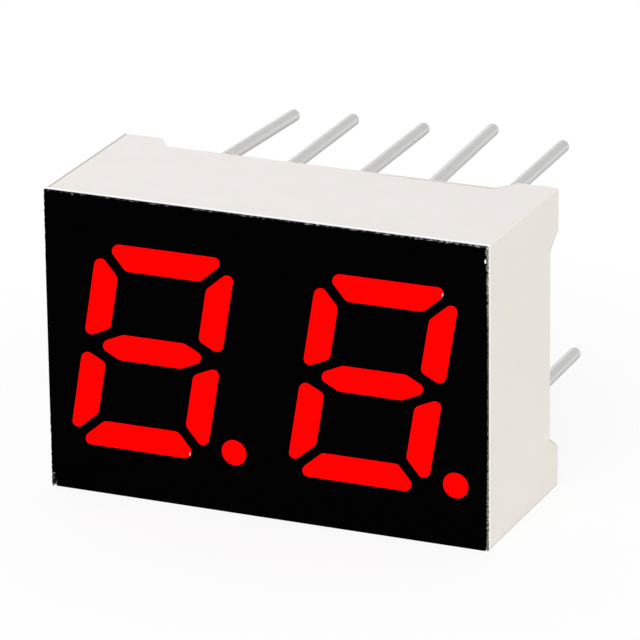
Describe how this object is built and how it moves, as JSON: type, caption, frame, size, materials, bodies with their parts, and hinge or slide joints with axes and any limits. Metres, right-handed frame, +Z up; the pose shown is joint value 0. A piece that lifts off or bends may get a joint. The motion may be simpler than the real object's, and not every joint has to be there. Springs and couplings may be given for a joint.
{
  "type": "seven segment display",
  "caption": "Seven segment LED display with a white case, a black face, lit red segments and decimal points, and two rows of round leads at the back.",
  "frame": {"origin": "under the middle of the whole part, on the surface that it stands on", "axes": "+Z up, +Y from the lit face towards the tips of the leads, +X to the right as the digits are read"},
  "size_m": [0.015, 0.0136, 0.01],
  "materials": {
    "case_plastic": "matte",
    "face_ink": "matte",
    "lit_resin": "satin",
    "tinned_lead": "satin",
    "rear_resin": "satin",
    "board_laminate": "matte",
    "copper_foil": "satin",
    "solder": "satin",
    "silver_adhesive": "matte",
    "gold_wire": "gloss",
    "led_crystal": "gloss"
  },
  "bodies": {
    "root": {"reflector_case": "case_plastic", "face_mask": "face_ink", "circuit_board": "board_laminate", "front_copper": "copper_foil", "rear_copper": "copper_foil", "solder_joints": "solder", "die_attach": "silver_adhesive", "bond_wires_digit_1": "gold_wire", "bond_wires_digit_2": "gold_wire", "rear_resin_fill": "rear_resin", "light_pipe_1a": "lit_resin", "light_pipe_1b": "lit_resin", "light_pipe_1c": "lit_resin", "light_pipe_1d": "lit_resin", "light_pipe_1e": "lit_resin", "light_pipe_1f": "lit_resin", "light_pipe_1g": "lit_resin", "light_pipe_1dp": "lit_resin", "light_pipe_2a": "lit_resin", "light_pipe_2b": "lit_resin", "light_pipe_2c": "lit_resin", "light_pipe_2d": "lit_resin", "light_pipe_2e": "lit_resin", "light_pipe_2f": "lit_resin", "light_pipe_2g": "lit_resin", "light_pipe_2dp": "lit_resin", "led_chip_1a": "led_crystal", "led_chip_1b": "led_crystal", "led_chip_1c": "led_crystal", "led_chip_1d": "led_crystal", "led_chip_1e": "led_crystal", "led_chip_1f": "led_crystal", "led_chip_1g": "led_crystal", "led_chip_1dp": "led_crystal", "led_chip_2a": "led_crystal", "led_chip_2b": "led_crystal", "led_chip_2c": "led_crystal", "led_chip_2d": "led_crystal", "led_chip_2e": "led_crystal", "led_chip_2f": "led_crystal", "led_chip_2g": "led_crystal", "led_chip_2dp": "led_crystal", "pin_1": "tinned_lead", "pin_2": "tinned_lead", "pin_3": "tinned_lead", "pin_4": "tinned_lead", "pin_5": "tinned_lead", "pin_6": "tinned_lead", "pin_7": "tinned_lead", "pin_8": "tinned_lead", "pin_9": "tinned_lead", "pin_10": "tinned_lead"}
  },
  "joints": []
}
